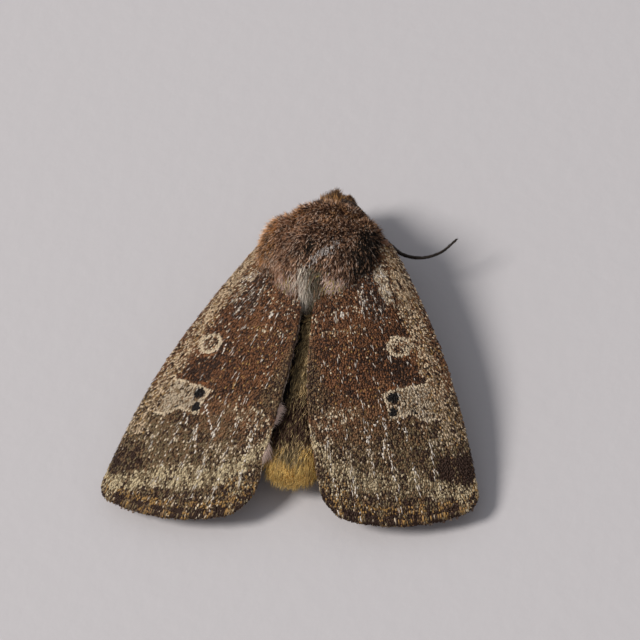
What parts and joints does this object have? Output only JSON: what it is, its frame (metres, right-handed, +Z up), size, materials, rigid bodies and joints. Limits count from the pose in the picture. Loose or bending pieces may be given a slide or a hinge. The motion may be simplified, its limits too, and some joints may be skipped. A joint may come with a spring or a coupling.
{
  "type": "moth",
  "caption": "Noctuid moth at rest with folded patterned wings, furry body, six tucked legs and one feeler held out, as a still life-size model.",
  "frame": {"origin": "middle of the moth's footprint, on the floor that its feet stand on", "axes": "+Z up from the floor, +Y towards the head, +X to the moth's right"},
  "size_m": [0.019, 0.0198, 0.0056],
  "materials": {
    "fur": "dense red-brown hair-like scales, matt",
    "abdomen_fur": "short grey-brown hair, matt",
    "tuft": "golden-brown tail hair, slightly silky",
    "forewing": "overlapping powdery scales in red-brown, ochre and cream",
    "hindwing": "fine grey-brown scales with a paler edge",
    "eye": "glossy near-black, very finely faceted",
    "leg": "brown scales with pale rings on the feet",
    "feeler": "dark, ringed, finely scaled"
  },
  "bodies": {
    "root": {"head": "fur", "collar": "fur", "thorax": "fur", "abdomen": "abdomen_fur", "tail_tuft": "tuft", "palp_left": "fur", "palp_right": "fur", "eye_left": "eye", "eye_right": "eye", "tongue": "feeler", "feeler_left": "feeler", "feeler_right": "feeler", "forewing_left": "forewing", "forewing_right": "forewing", "hindwing_left": "hindwing", "hindwing_right": "hindwing", "leg_front_left": "leg", "leg_front_right": "leg", "leg_middle_left": "leg", "leg_middle_right": "leg", "leg_hind_left": "leg", "leg_hind_right": "leg"}
  },
  "joints": []
}
